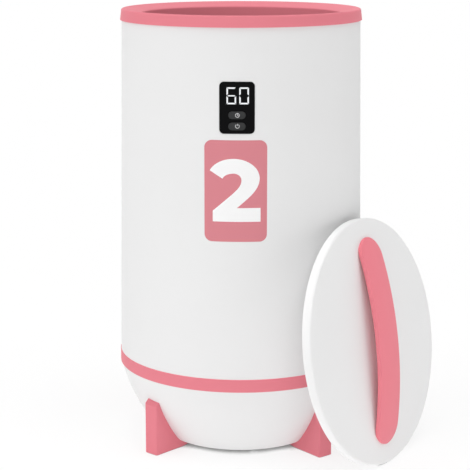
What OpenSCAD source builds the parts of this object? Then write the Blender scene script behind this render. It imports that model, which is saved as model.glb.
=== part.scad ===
// Towel warmer bucket: a double-walled heated drum on four fin feet, with a loose lid.
// Millimetres, +Z up. The origin is on the drum's axis, at the floor. The front faces -Y.

/* [Body] */
// Height of the bucket without its lid
body_h = 528; // [500:1:560]
// Outer diameter of the top rim
rim_d = 290; // [284:0.5:296]
// Height of the top rim's outer face
rim_h = 13.2; // [12:0.1:18]
// Diameter of the mouth
mouth_d = 238; // [232:0.5:240]
// Depth of the funnel from the rim's crest down to the mouth
rim_dip = 5.5; // [4:0.1:7]
// Diameter of the drum just under the rim
drum_top_d = 286.2; // [284:0.1:288]
// Diameter of the drum at the accent band
drum_foot_d = 297.8; // [295:0.1:300]
// Thickness of the drum's moulded wall
drum_wall = 2.6; // [2:0.1:3]

/* [Base] */
// Height of the accent band's lower edge above the floor
band_z = 94.7; // [90:0.1:98]
// Height of the accent band
band_h = 15.3; // [12:0.1:18]
// Gap between the bowl and the floor
bowl_gap = 3.5; // [3:0.5:8]
// Radius of the bowl's flat underside
bowl_flat_r = 85; // [82:0.5:88]
// Radius of the bowl's round lower corner
bowl_round_r = 30; // [26:0.5:34]
// Slope at which the round lower corner runs into the bowl's side
bowl_turn = 50.4; // [48:0.1:53]
// Thickness of the bowl's wall
bowl_wall = 3; // [2.5:0.1:3.5]

/* [Feet] */
// Angle of each foot from the front or back centre line
foot_angle = 46.5; // [40:0.5:50]
// Turn of each foot about its outer face, away from the radial line
foot_toe = 6.5; // [0:0.5:8]
// Thickness of a foot
foot_t = 19.5; // [17:0.5:22]
// Distance of a foot's outer face from the axis
foot_out_r = 144.3; // [142:0.1:146]
// Distance of a foot's inner end from the axis
foot_in_r = 89; // [88:0.5:93]
// Height of a foot's outer face
foot_h = 63; // [58:0.5:66]
// Rise of a foot's top from its outer face to the bowl
foot_rise = 5.5; // [3:0.5:7]

/* [Panel] */
// Width of the display panel
panel_w = 39.6; // [37:0.1:39.6]
// Height of the display panel
panel_h = 58.3; // [56:0.1:64]
// Height of the panel's centre above the floor
panel_z = 425.5; // [400:0.5:440]
// Width of a key
key_w = 19.4; // [17:0.1:22]
// Height of a key
key_h = 8.5; // [7:0.1:9]
// Height of the timer key's centre
timer_key_z = 417.2; // [417:0.1:418]
// Height of the power key's centre
power_key_z = 404.6; // [404:0.1:406]
// Travel of a key
key_travel = 0.8; // [0.5:0.1:0.9]

/* [Bucket] */
// Inner diameter of the bucket just under the rim
bucket_top_d = 244.6; // [244:0.1:246]
// Inner diameter of the bucket at its bottom
bucket_foot_d = 236; // [230:0.5:238]
// Thickness of the bucket's sheet
bucket_wall = 1.2; // [1:0.1:1.5]
// Height of the bucket's underside above the floor
bucket_z = 116; // [114:0.5:120]
// Thickness of the insulation sleeve
felt_t = 8; // [6:0.5:9]

/* [Lid] */
// Diameter of the lid
lid_d = 290; // [284:0.5:296]
// Thickness of the lid's edge
lid_t = 11; // [10:0.5:14]
// Diameter of the plug that centres the lid in the mouth
plug_d = 232; // [228:0.5:234]
// Depth of the plug
plug_h = 11.4; // [10.5:0.1:14]
// Angle between the leaning lid and the vertical
lean_tilt = 10.2; // [8:0.1:14]
// Direction of the leaning lid from the drum, counter-clockwise from +X
lean_az = -31.5; // [-40:0.5:-25]
// Turn of the lid about its own axis
lean_roll = -5.4; // [-15:0.1:15]
// Gap left between the leaning lid and the drum
lean_gap = 0.5; // [0.3:0.1:2]

/* [Handle] */
// Length of the handle strap
handle_l = 244.4; // [236:0.1:250]
// Width of the handle strap
handle_w = 45; // [38:1:50]
// Thickness of the handle strap
handle_t = 5; // [4.5:0.5:7]
// Height of the strap's crown above the lid
handle_rise = 18; // [16:0.5:26]
// Distance of a handle screw from the lid's centre
handle_screw_x = 106; // [104:0.5:108]

/* [Hidden] */
$fn = 96;

cut = 0.5;            // how far a cutting solid passes a face
ahead_y = -150;       // a plane just ahead of the drum
rim_r = rim_d / 2;
rim_z = body_h - rim_h;
mouth_r = mouth_d / 2;
drum_top_r = drum_top_d / 2;
drum_foot_r = drum_foot_d / 2;
drum_z = band_z + band_h;
skin = 2.5;           // moulded wall of the rim and the lid
chamfer = 0.6;        // broken edge on the moulded rings

rim_draft = 1.3;      // how far the rim's outer face leans in over its height
rim_outer_round = 2.2;
rim_inner_round = 2;
rim_crest_r = rim_r - rim_draft - rim_outer_round - 0.4;
rim_slope = atan(rim_dip / (rim_crest_r - mouth_r));
rim_skirt_z = rim_z - 18;
rim_rib_r = 136.5;
rim_rib_t = 2;
ledge_z = rim_z - 11;
ledge_t = 3;
ledge_r = 134.3;
seal_t = 2.5;
flange_z = ledge_z + ledge_t + seal_t;
flange_r = 138;

band_r = drum_foot_r + 0.7;
band_lip_r = drum_foot_r - drum_wall - 0.5;
band_web_z = band_z + 4;
band_web_t = 4;
band_web_r = 134;
band_skirt_r = 139;   // skirt that centres the bowl
bowl_top_r = drum_foot_r - 0.3;
bowl_knee = [bowl_flat_r + bowl_round_r * sin(bowl_turn),
    bowl_gap + bowl_round_r * (1 - cos(bowl_turn))];
bowl_chord = [bowl_top_r, band_z] - bowl_knee;
bowl_chord_turn = atan2(bowl_chord[1], bowl_chord[0]);
bowl_top_turn = 2 * bowl_chord_turn - bowl_turn;
bowl_side_r = norm(bowl_chord) / (2 * sin(bowl_chord_turn - bowl_turn));
bowl_side_c = bowl_knee - bowl_side_r * [sin(bowl_turn), -cos(bowl_turn)];

plate_z = band_web_z + band_web_t;
plate_t = 3;
plate_r = band_lip_r - skin - 0.5;
plate_hole_r = 60;
rib_count = 8;
rib_t = 3;
rib_l = 46;

sensor_ring_r = 34;   // place of the sensors under the bucket

tower_r = 6.5;
tower_ring_r = 88;
tower_turn = 12;      // turns the towers clear of the leads
tower_top_z = 56;
tower_floor_t = 4;
post_x = 44;
post_y = 26;
post_r = 4;
board_z = 40;
board_t = 1.6;

screw_r = 2;
screw_bore_r = 2.1;
screw_hole_r = 2.3;
screw_head_r = 3.8;
screw_head_t = 2.6;
board_screw_r = 1.3;
board_bore_r = 1.4;
board_head_r = 2.4;
board_head_t = 1.6;

foot_screw_z = 50;
foot_screw_r = 99;
foot_screw_head_z = bowl_gap + 10.5;
foot_screw_l = 10;
foot_screw_head_r = 3.4;
foot_screw_head_t = 2;
foot_seat_r = 5;      // seats inside the bowl for the feet's screws
pad_t = 0.8;          // how far a pad stands out of its foot
pad_sink = 0.8;       // how deep a pad sits in its foot
pad_w = 14;
pad_corner = 3;
pad_play = 0.15;
pad_l = 42;
pad_r = 118;

gland_z = 58;
gland_r = 7;
gland_flange_r = 10;
gland_bore_r = 3.6;
gland_face_y = 140;
gland_in_y = 124;     // inner face of the bowl's seat for the bush
gland_nut_t = 2.5;
gland_flange_t = 3.5;

lead_r = 1.6;
lead_slot_w = 9;

panel_t = drum_wall + 0.5;
panel_proud = 0.5;      // how far the panel stands out of the drum
panel_corner = 5;
key_gap = 0.3;
key_proud = 0.4;
key_flange_y = -141.1;  // front face of a key's flange
key_flange_t = 1;
pcb_w = 38;
pcb_h = 58;
pcb_y = -135.6;       // front face of the control board
pcb_screw_x = 16.4;
pcb_screw_z = 26.8;
holder_w = 44;
holder_h = 64;
holder_wall = 2;
switch_t = 3;
plunger_t = 0.5;
display_y = -140.1;   // front face of the display module
bar_proud = 0.4;
digit_x = [-6.35, 7.95];
digit_z = 439.1;
digit_w = 9.1;        // between the bar centres of a digit
digit_h = 17.3;
digit_bar = 1.8;

plug_r = plug_d / 2;
lid_r = lid_d / 2;
lid_round = 2.8;
plug_seal_z = -7;     // upper edge of the seal's groove
plug_seal_t = 2;
lid_boss_r = 134;
lid_boss_count = 6;
lid_boss_out_r = 4;
lid_screw_r = 1.5;
lid_screw_l = 6;
lid_screw_head_r = 3;
lid_screw_head_t = 1.1;
lid_screw_sink = 1.2; // how deep the heads sit in the liner
touch_z = (lid_r + plug_r) * cos(lean_tilt) - plug_h * sin(lean_tilt);
lean_foot_r = drum_r(touch_z) + lean_gap + plug_h * cos(lean_tilt)
    + (lid_r + plug_r) * sin(lean_tilt);

// Points of an arc about [cx, cy], from angle a0 to a1
function arc(cx, cy, r, a0, a1, n = 6) =
    [for (i = [0:n]) let (a = a0 + (a1 - a0) * i / n) [cx + r * cos(a), cy + r * sin(a)]];

// Outer radius of the drum at height z
function drum_r(z) =
    drum_top_r + (drum_foot_r - drum_top_r) * (rim_z - z) / (rim_z - drum_z);

// Outer radius of the bucket at height z
function bucket_r(z) = bucket_wall
    + (bucket_foot_d + (bucket_top_d - bucket_foot_d) * (z - bucket_z) / (flange_z - bucket_z)) / 2;

// Outline of the bowl, grown inwards by t, from its top edge to the axis
function bowl_line(t) = concat(
    [[bowl_top_r - t, band_z]],
    arc(bowl_side_c[0], bowl_side_c[1], bowl_side_r - t, bowl_top_turn - 92, bowl_turn - 90, 12),
    arc(bowl_flat_r, bowl_gap + bowl_round_r, bowl_round_r - t, bowl_turn - 94, -90, 8),
    [[0, bowl_gap + t]]);

// Outer radius of the bowl's side at height z
function bowl_r(z) =
    bowl_side_c[0] + sqrt(bowl_side_r * bowl_side_r - (z - bowl_side_c[1]) * (z - bowl_side_c[1]));

// Height of the rim's funnel at radius r
function funnel_z(r) = body_h - (rim_crest_r - r) * tan(rim_slope);

module ring(r_out, r_in, z, h) {
    translate([0, 0, z]) difference() {
        cylinder(r = r_out, h = h);
        translate([0, 0, -cut]) cylinder(r = r_in, h = h + 2 * cut);
    }
}

// Flat outline with round corners
module rounded(w, h, r) {
    square([w - 2 * r, h], center = true);
    square([w, h - 2 * r], center = true);
    for (x = [-1, 1], y = [-1, 1])
        translate([x * (w / 2 - r), y * (h / 2 - r)]) circle(r = r, $fn = 32);
}

// Solid that runs inwards from the front, with its outline upright
module from_front(y, depth) {
    translate([0, y, 0]) rotate([90, 0, 0]) translate([0, 0, -depth]) linear_extrude(depth)
        children();
}

// Screw that points along +Z with the underside of its head at the origin
module screw(l, r, head_r, head_t) {
    cylinder(r = r, h = l, $fn = 32);
    translate([0, 0, -head_t]) cylinder(r = head_r, h = head_t, $fn = 32);
}

module around(count, r, start = 0) {
    for (i = [0:count - 1]) rotate([0, 0, start + i * 360 / count]) translate([r, 0, 0])
        children();
}

// Directions of the four feet, and which way each one is turned from them
foot_turns = [-90 - foot_angle, -90 + foot_angle, 90 + foot_angle, 90 - foot_angle];
foot_toe_ways = [1, -1, -1, 1];

// Places what is drawn along +X at foot i
module at_foot(i) {
    rotate([0, 0, foot_turns[i]]) translate([foot_out_r, 0, 0])
        rotate([0, 0, foot_toe * foot_toe_ways[i]]) translate([-foot_out_r, 0, 0]) children();
}

// Places what is drawn along +X at each foot
module at_feet() {
    for (i = [0:3]) at_foot(i) children();
}

// Tube with eight sides along a list of points
module tube(path, r) {
    sides = 8;
    last = len(path) - 1;
    function unit(v) = v / norm(v);
    ring_points = [for (i = [0:last])
        let (along = unit(path[min(i + 1, last)] - path[max(i - 1, 0)]),
             side = unit(cross(along, abs(along[0]) < 0.9 ? [1, 0, 0] : [0, 1, 0])),
             over = cross(along, side))
        for (k = [0:sides - 1]) let (a = k * 360 / sides)
            path[i] + r * (side * cos(a) + over * sin(a))];
    walls = [for (i = [0:last - 1], k = [0:sides - 1])
        let (a = i * sides + k, b = i * sides + (k + 1) % sides)
        [a, b, b + sides, a + sides]];
    ends = [[for (k = [sides - 1:-1:0]) k], [for (k = [0:sides - 1]) last * sides + k]];
    polyhedron(points = ring_points, faces = concat(walls, ends), convexity = 4);
}

// Puts the lid, drawn flat with its seat at z = 0, where it leans on the drum
module leaning() {
    rotate([0, 0, lean_az])
    translate([lean_foot_r, 0, -chamfer * sin(lean_tilt)])
    rotate([0, 90 - lean_tilt, 0])
    translate([-lid_r, 0, 0])
    rotate([0, 0, lean_roll])
        children();
}

module outer_drum() {
    color("white") difference() {
        rotate_extrude($fn = 180) polygon([
            [drum_foot_r - drum_wall, drum_z], [drum_foot_r, drum_z],
            [drum_top_r, rim_z], [drum_top_r - drum_wall, rim_z],
            [drum_r(ledge_z + ledge_t) - drum_wall, ledge_z + ledge_t],
            [ledge_r, ledge_z + ledge_t], [ledge_r, ledge_z],
            [drum_r(ledge_z - 5) - drum_wall, ledge_z - 5]]);
        from_front(-drum_foot_r - cut, 12) translate([0, panel_z])
            rounded(panel_w + 0.4, panel_h + 0.4, panel_corner + 0.2);
    }
}

module top_rim() {
    top_r = rim_r - rim_draft;
    under = skin / cos(rim_slope);
    z_in = funnel_z(mouth_r + rim_inner_round) - rim_inner_round;
    z_out = body_h - rim_outer_round;
    rib_r = rim_rib_r - rim_rib_t / 2;
    rib_z = flange_z + bucket_wall;
    color("lightcoral") rotate_extrude($fn = 180) {
        polygon(concat(
            [[rim_r, rim_z]],
            arc(top_r - rim_outer_round, z_out, rim_outer_round, 0, 90),
            [[rim_crest_r, body_h]],
            arc(mouth_r + rim_inner_round, z_in, rim_inner_round, 90 + rim_slope, 180),
            [[mouth_r, rim_skirt_z], [mouth_r + skin, rim_skirt_z],
             [mouth_r + skin, funnel_z(mouth_r + skin) - under],
             [rim_crest_r, body_h - under], [top_r - skin, body_h - under],
             [rim_r - skin, rim_z]]));
        translate([rib_r, rib_z]) square([rim_rib_t, funnel_z(rib_r) - under / 2 - rib_z]);
    }
}

module inner_bucket() {
    corner = 12;
    foot_r = bucket_r(bucket_z);
    color("silver") rotate_extrude($fn = 180) polygon(concat(
        [[0, bucket_z]],
        arc(foot_r - corner, bucket_z + corner, corner, -90, 0),
        [[bucket_r(flange_z), flange_z], [flange_r, flange_z],
         [flange_r, flange_z + bucket_wall],
         [bucket_r(flange_z) - bucket_wall, flange_z + bucket_wall]],
        arc(foot_r - corner, bucket_z + corner, corner - bucket_wall, 0, -90),
        [[0, bucket_z + bucket_wall]]));
}

module bucket_seal() {
    color("dimgray") ring(flange_r - 0.4, ledge_r + 0.4, ledge_z + ledge_t, seal_t);
}

module bucket_support() {
    color("gainsboro") difference() {
        union() {
            ring(plate_r, plate_hole_r, plate_z, plate_t);
            ring(plate_hole_r + 3, plate_hole_r, plate_z, bucket_z - plate_z);
            around(rib_count, plate_hole_r + 1, 22.5)
                translate([0, -rib_t / 2, plate_z + 1])
                cube([rib_l, rib_t, bucket_z - plate_z - 1]);
            around(4, tower_ring_r, tower_turn)
                translate([0, 0, tower_top_z + 0.3])
                cylinder(r = tower_r, h = plate_z - tower_top_z + 1);
        }
        around(4, tower_ring_r, tower_turn)
            translate([0, 0, tower_top_z]) cylinder(r = screw_bore_r, h = 26, $fn = 32);
        lead_slot(-1, plate_r - 9);
        lead_slot(1, plate_r - 9);
    }
}

// Notch that lets a lead pass the plates between the drum and the base, at the front
// (side -1) or at the back (side 1)
module lead_slot(side, from_r) {
    translate([-lead_slot_w / 2, side > 0 ? from_r : -band_lip_r + skin + 0.1, band_web_z - 1])
        cube([lead_slot_w, band_lip_r - skin - 0.1 - from_r, 12]);
}

module heater_film() {
    z0 = 150;
    z1 = 400;
    gap = 0.1;
    t = 1.2;
    seam = 8;
    slot = [30, 4];
    color("goldenrod") difference() {
        rotate_extrude($fn = 180) polygon([
            [bucket_r(z0) + gap, z0], [bucket_r(z0) + gap + t, z0],
            [bucket_r(z1) + gap + t, z1], [bucket_r(z1) + gap, z1]]);
        // the sleeve is open along its seam at the back
        translate([6, 100, z0 - cut]) cube([seam, 50, z1 - z0 + 2 * cut]);
        // and slotted between its rows of wire
        for (z = [z0 + 50:50:z1 - 50])
            translate([20, 90, z]) cube([slot[0], 60, slot[1]]);
    }
}

module insulation_sleeve() {
    z0 = 130;
    z1 = 495;
    gap = 1.5;
    notch = [12, 22];     // for the heater's lead, at the back
    window = [holder_w + 4, holder_h + 12];
    color("lightgray") difference() {
        rotate_extrude($fn = 120) polygon([
            [bucket_r(z0) + gap, z0], [bucket_r(z0) + gap + felt_t, z0],
            [bucket_r(z1) + gap + felt_t, z1], [bucket_r(z1) + gap, z1]]);
        from_front(ahead_y, 50) translate([0, panel_z])
            square(window, center = true);
        translate([-notch[0] / 2, 100, z0 - cut]) cube([notch[0], 50, notch[1]]);
    }
}

module temperature_sensor() {
    tab = [12, 8, 1];
    tip_r = 2.6;
    pin_r = 0.5;
    color("dimgray") translate([0, sensor_ring_r, bucket_z]) {
        translate([-tab[0] / 2, -tab[1] / 2, -tab[2]]) cube(tab);
        translate([0, 0, -5]) cylinder(r = tip_r, h = 4.5, $fn = 32);
        for (x = [-1.2, 1.2]) translate([x, 0, -10]) cylinder(r = pin_r, h = 6, $fn = 16);
    }
}

module thermostat() {
    cap_r = 8;
    case_r = 7;
    tab = [24, 7, 1];
    blade = [0.8, 6, 6.5];
    color("silver") translate([sensor_ring_r, 0, bucket_z]) {
        translate([0, 0, -4]) cylinder(r = cap_r, h = 4);
        translate([0, 0, -9]) cylinder(r = case_r, h = 5.5);
        translate([-tab[0] / 2, -tab[1] / 2, -tab[2]]) cube(tab);
        for (x = [-4, 4]) translate([x - blade[0] / 2, -blade[1] / 2, -15]) cube(blade);
    }
}

module thermal_fuse() {
    tab = [10, 9, 1];
    case_r = 2.2;
    case_l = 18;
    wire_r = 0.6;
    wire_l = 6;
    color("lightgray") translate([-sensor_ring_r, 0, bucket_z]) {
        translate([-tab[0] / 2, -tab[1] / 2, -tab[2]]) cube(tab);
        translate([0, case_l / 2, -3]) rotate([90, 0, 0])
            cylinder(r = case_r, h = case_l, $fn = 32);
        for (y = [-1, 1]) translate([0, y * (case_l + wire_l - 2) / 2 + wire_l / 2, -3])
            rotate([90, 0, 0]) cylinder(r = wire_r, h = wire_l, $fn = 16);
    }
}

// Outline of one pill key, grown by g
module pill(z, g = 0) {
    translate([0, z]) {
        square([key_w - key_h, key_h + 2 * g], center = true);
        for (x = [-1, 1]) translate([x * (key_w - key_h) / 2, 0])
            circle(d = key_h + 2 * g, $fn = 48);
    }
}

module display_panel() {
    z0 = panel_z - panel_h / 2 - 5;
    z1 = panel_z + panel_h / 2 + 5;
    out = panel_proud;
    color("black") difference() {
        intersection() {
            rotate_extrude($fn = 180) polygon([
                [drum_r(z0) + out - panel_t, z0], [drum_r(z0) + out, z0],
                [drum_r(z1) + out, z1], [drum_r(z1) + out - panel_t, z1]]);
            from_front(ahead_y, 20) translate([0, panel_z])
                rounded(panel_w, panel_h, panel_corner);
        }
        from_front(ahead_y, 20) pill(timer_key_z, key_gap);
        from_front(ahead_y, 20) pill(power_key_z, key_gap);
    }
}

// One upright stroke or level bar of a digit, pointed at both ends
module segment(l, w) {
    polygon([[-l / 2, 0], [-l / 2 + w / 2, w / 2], [l / 2 - w / 2, w / 2], [l / 2, 0],
        [l / 2 - w / 2, -w / 2], [-l / 2 + w / 2, -w / 2]]);
}

// The seven light bars of a digit, w wide and h high over its bar centres
module digit_bars(w, h, bar) {
    for (z = [-h / 2, 0, h / 2]) translate([0, z]) segment(w - 0.6, bar);
    for (x = [-w / 2, w / 2], z = [-h / 4, h / 4])
        translate([x, z]) rotate([0, 0, 90]) segment(h / 2 - 0.6, bar);
}

module display_module() {
    size = [30, 21.6];
    color("dimgray") {
        from_front(display_y, pcb_y - display_y)
            translate([(digit_x[0] + digit_x[1]) / 2, digit_z]) square(size, center = true);
        from_front(display_y - bar_proud, bar_proud + 0.2) for (x = digit_x)
            translate([x, digit_z]) digit_bars(digit_w, digit_h, digit_bar);
    }
}

module control_board() {
    color("darkgreen") difference() {
        from_front(pcb_y, board_t) translate([0, panel_z]) square([pcb_w, pcb_h], center = true);
        control_board_screw_axes() cylinder(r = board_bore_r, h = 12, center = true, $fn = 32);
    }
}

// Places what is drawn along +Z at the four corners of the control board, pointing forwards
module control_board_screw_axes() {
    for (x = [-1, 1], z = [-1, 1])
        translate([x * pcb_screw_x, pcb_y + board_t, panel_z + z * pcb_screw_z])
        rotate([90, 0, 0]) children();
}

module key_switches() {
    color("black") for (z = [timer_key_z, power_key_z]) {
        from_front(pcb_y - switch_t, switch_t) translate([0, z])
            square([6, 6], center = true);
        translate([0, pcb_y - switch_t + 0.1, z]) rotate([90, 0, 0])
            cylinder(r = 1.7, h = plunger_t + 0.1, $fn = 32);
    }
}

module panel_holder() {
    z0 = panel_z - holder_h / 2;
    z1 = panel_z + holder_h / 2;
    color("gainsboro") difference() {
        intersection() {
            union() {
                difference() {
                    from_front(ahead_y, 16) translate([0, panel_z])
                        square([holder_w, holder_h], center = true);
                    from_front(ahead_y, 20) translate([0, panel_z])
                        square([holder_w - 2 * holder_wall, holder_h - 2 * holder_wall],
                            center = true);
                }
                for (x = [-1, 1], z = [-1, 1])
                    from_front(ahead_y, pcb_y - ahead_y)
                    translate([x * (pcb_screw_x + 1), panel_z + z * (pcb_screw_z + 1)])
                    square([8, 6.4], center = true);
            }
            rotate_extrude($fn = 180) polygon([
                [100, z0], [drum_r(z0) - drum_wall - 0.1, z0],
                [drum_r(z1) - drum_wall - 0.1, z1], [100, z1]]);
        }
        // notch for the panel's lead
        translate([-3, -138.5, z0 - cut]) cube([6, 8, holder_wall + 2 * cut]);
        control_board_screw_axes() translate([0, 0, -1])
            cylinder(r = board_bore_r, h = 6, $fn = 32);
    }
}

module key(z) {
    color("dimgray") {
        intersection() {
            from_front(ahead_y, key_flange_y + 0.3 - ahead_y) pill(z);
            rotate_extrude($fn = 180)
                translate([136, z - 10]) square([drum_r(z) + panel_proud + key_proud - 136, 20]);
        }
        from_front(key_flange_y, key_flange_t) translate([0, z])
            square([key_w + 1.6, key_h + 1], center = true);
    }
}

module timer_button() {
    key(timer_key_z);
}

module power_button() {
    key(power_key_z);
}

module accent_band() {
    color("lightcoral") difference() {
        rotate_extrude($fn = 180) {
            polygon([
                [band_lip_r + 0.4, band_z], [band_r - chamfer, band_z],
                [band_r, band_z + chamfer], [band_r, drum_z - chamfer],
                [band_r - chamfer, drum_z], [band_lip_r + 0.4, drum_z]]);
            translate([band_lip_r - skin, band_web_z])
                square([skin, drum_z + 10 - band_web_z]);
            translate([band_web_r, band_web_z])
                square([band_lip_r + 0.6 - band_web_r, band_web_t]);
            translate([band_skirt_r, band_z - 8]) square([skin, 10 + band_web_t]);
        }
        lead_slot(-1, plate_r - 9);
        lead_slot(1, plate_r - 9);
    }
}

module base_bowl() {
    inner_floor = bowl_gap + bowl_wall;
    vent_count = 12;
    vent_in_r = 52;
    vent = [20, 4];
    color("white") difference() {
        union() {
            rotate_extrude($fn = 180) polygon(concat(
                bowl_line(0), [for (i = [len(bowl_line(0)) - 1:-1:0]) bowl_line(bowl_wall)[i]]));
            around(4, tower_ring_r, tower_turn) translate([0, 0, bowl_gap + 2])
                cylinder(r = tower_r, h = tower_top_z - bowl_gap - 2);
            for (x = [-post_x, post_x], y = [-post_y, post_y])
                translate([x, y, inner_floor - 1])
                cylinder(r = post_r, h = board_z - inner_floor + 1);
            // flat seat for the cord's bush
            translate([0, gland_in_y, gland_z]) rotate([-90, 0, 0])
                cylinder(r = gland_flange_r + 2, h = gland_face_y - gland_in_y);
            // flat seats for the feet's screws
            intersection() {
                at_feet() foot_screw_axes() cylinder(r = foot_seat_r, h = foot_screw_l);
                bowl_core();
            }
        }
        around(4, tower_ring_r, tower_turn) {
            translate([0, 0, bowl_gap - cut])
                cylinder(r = screw_head_r + 0.7, h = tower_top_z - tower_floor_t - bowl_gap + cut);
            translate([0, 0, bowl_gap]) cylinder(r = screw_hole_r, h = tower_top_z, $fn = 32);
        }
        for (x = [-post_x, post_x], y = [-post_y, post_y])
            translate([x, y, inner_floor + 6]) cylinder(r = board_bore_r, h = 60, $fn = 32);
        around(vent_count, vent_in_r, 15) translate([0, -vent[1] / 2, bowl_gap - cut])
            cube([vent[0], vent[1], bowl_wall + 2 * cut]);
        at_feet() foot_screw_axes() translate([0, 0, -14])
            cylinder(r = screw_hole_r, h = 28, $fn = 32);
        translate([0, gland_in_y - cut, gland_z]) rotate([-90, 0, 0])
            cylinder(r = gland_r, h = 30);
    }
}

// Solid inside of the bowl's outer face, which the feet are shaped to
module bowl_core() {
    rotate_extrude($fn = 180) polygon(concat(bowl_line(0), [[0, band_z]]));
}

// The two screw axes of a foot along +X: one runs outwards, one runs down
module foot_screw_axes() {
    inner_r = bowl_r(foot_screw_z - foot_seat_r) - bowl_wall / sin(bowl_turn);
    translate([inner_r - 0.5, 0, foot_screw_z]) rotate([0, 90, 0]) children();
    translate([foot_screw_r, 0, foot_screw_head_z]) rotate([180, 0, 0]) children();
}

module foot_block() {
    edge = 1.6;
    buried_r = 120;       // a corner inside the bowl
    buried_z = 24;
    toe_l = 9;            // the underside rises a little at the inner end
    toe_rise = 1.5;
    side_points = [[foot_in_r, pad_t + toe_rise], [foot_in_r + toe_l, pad_t],
        [foot_out_r, pad_t], [foot_out_r, foot_h - edge],
        [foot_out_r - edge, foot_h], [foot_out_r - 8, foot_h + foot_rise],
        [buried_r, foot_h + foot_rise], [foot_in_r, buried_z]];
    intersection() {
        rotate([90, 0, 0]) translate([0, 0, -foot_t / 2]) linear_extrude(foot_t)
            polygon(side_points);
        translate([(foot_in_r + foot_out_r) / 2, 0, 0]) linear_extrude(90)
            rounded(foot_out_r - foot_in_r, foot_t, edge);
    }
}

module foot(i) {
    color("lightcoral") difference() {
        at_foot(i) foot_block();
        bowl_core();
        at_foot(i) {
            foot_screw_axes() cylinder(r = screw_bore_r, h = foot_screw_l + 0.8, $fn = 32);
            translate([pad_r, 0, 0]) linear_extrude(pad_t + pad_sink)
                rounded(pad_l + 2 * pad_play, pad_w + 2 * pad_play, pad_corner + pad_play);
        }
    }
}

module foot_front_left() {
    foot(0);
}

module foot_front_right() {
    foot(1);
}

module foot_rear_left() {
    foot(2);
}

module foot_rear_right() {
    foot(3);
}

module foot_pads() {
    color("dimgray") at_feet() translate([pad_r, 0, 0])
        linear_extrude(pad_t + pad_sink) rounded(pad_l, pad_w, pad_corner);
}

module foot_screws() {
    color("silver") at_feet() foot_screw_axes()
        screw(foot_screw_l, screw_r, foot_screw_head_r, foot_screw_head_t);
}

module base_screws() {
    color("silver") around(4, tower_ring_r, tower_turn)
        translate([0, 0, tower_top_z - tower_floor_t])
        screw(24, screw_r, screw_head_r, screw_head_t);
}

// Boxes on the power board, each as [left, near side, width, depth, height]: transformer,
// relay, film capacitor, socket of the panel's lead, socket of the heater's lead
power_boxes = [[-34, -20, 28, 24, 20], [8, -22, 19, 15.5, 15], [-8, 14, 10, 12, 12],
    [-15, -32, 30, 7, 9], [-20, 27, 34, 6.5, 9]];
power_board_w = 104;
power_board_d = 68;
capacitor = [16, 12, 8, 22];  // place along X and Y, radius and height

module power_board() {
    top = board_z + board_t - 0.1;
    color("darkgreen") {
        difference() {
            translate([-power_board_w / 2, -power_board_d / 2, board_z])
                cube([power_board_w, power_board_d, board_t]);
            for (x = [-post_x, post_x], y = [-post_y, post_y])
                translate([x, y, board_z - cut]) cylinder(r = board_bore_r, h = 4, $fn = 32);
        }
        for (b = power_boxes) translate([b[0], b[1], top]) cube([b[2], b[3], b[4]]);
        translate([capacitor[0], capacitor[1], top]) cylinder(r = capacitor[2], h = capacitor[3]);
    }
}

module board_screws() {
    color("silver") {
        for (x = [-post_x, post_x], y = [-post_y, post_y])
            translate([x, y, board_z + board_t]) rotate([180, 0, 0])
            screw(8, board_screw_r, board_head_r, board_head_t);
        control_board_screw_axes() screw(5, board_screw_r, board_head_r, board_head_t);
    }
}

module cord_gland() {
    depth = gland_face_y - gland_in_y;
    color("dimgray") translate([0, gland_in_y, gland_z]) rotate([-90, 0, 0]) difference() {
        union() {
            translate([0, 0, -gland_nut_t]) cylinder(r = gland_r - 0.1, h = depth + 4);
            translate([0, 0, -gland_nut_t]) cylinder(r = gland_r + 2, h = gland_nut_t);
            translate([0, 0, depth])
                cylinder(r1 = gland_flange_r, r2 = gland_flange_r - 1.5, h = gland_flange_t);
        }
        translate([0, 0, -10]) cylinder(r = gland_bore_r, h = 50);
    }
}

// Route of the lead from the control board down to the power board
panel_route = [[0, -134.8, 396.5], [0, -134.8, 395.3], [0, -135.5, 392.5], [0, -137.3, 388],
    [0, -138, 378], [0, -138, 300], [0, -138, 240], [0, -138, 180], [0, -138, 130],
    [0, -136.5, 110], [0, -135.5, 100], [0, -134, 88], [0, -126, 74], [0, -108, 66],
    [0, -80, 62], [0, -52, 60], [0, -34, 58], [0, -29.5, 55.5], [0, -28.5, 52.5],
    [0, -28.5, 50.5]];

// Route of the lead from the heater down to the power board
heater_route = [[0, 121.9, 150], [0, 121.9, 148.8], [0, 123, 143.5], [0, 127, 136],
    [0, 133, 126], [0, 135.5, 117], [0, 135.5, 104], [0, 134, 90], [0, 124, 74],
    [0, 104, 66], [0, 76, 62], [0, 50, 60], [0, 36, 58], [0, 31.3, 55.5], [0, 30.3, 52.5],
    [0, 30.3, 50.5]];

module panel_lead() {
    color("dimgray") tube(panel_route, lead_r);
}

module heater_lead() {
    color("dimgray") tube(heater_route, lead_r);
}

module lid_disc() {
    color("white") leaning() difference() {
        union() {
            rotate_extrude($fn = 180) polygon(concat(
                [[0, lid_t - skin], [lid_r - skin, lid_t - skin], [lid_r - skin, 0],
                 [lid_r - chamfer, 0], [lid_r, chamfer]],
                arc(lid_r - lid_round, lid_t - lid_round, lid_round, 0, 90, 4),
                [[0, lid_t]]));
            around(lid_boss_count, lid_boss_r) translate([0, 0, 2.1])
                cylinder(r = lid_boss_out_r, h = lid_t - skin - 1.6, $fn = 32);
        }
        around(lid_boss_count, lid_boss_r)
            cylinder(r = lid_screw_r + 0.1, h = lid_t - skin - 0.5, $fn = 32);
        for (x = [-1, 1]) translate([x * handle_screw_x, 0, 0])
            cylinder(r = screw_hole_r, h = 30, $fn = 32);
    }
}

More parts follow.
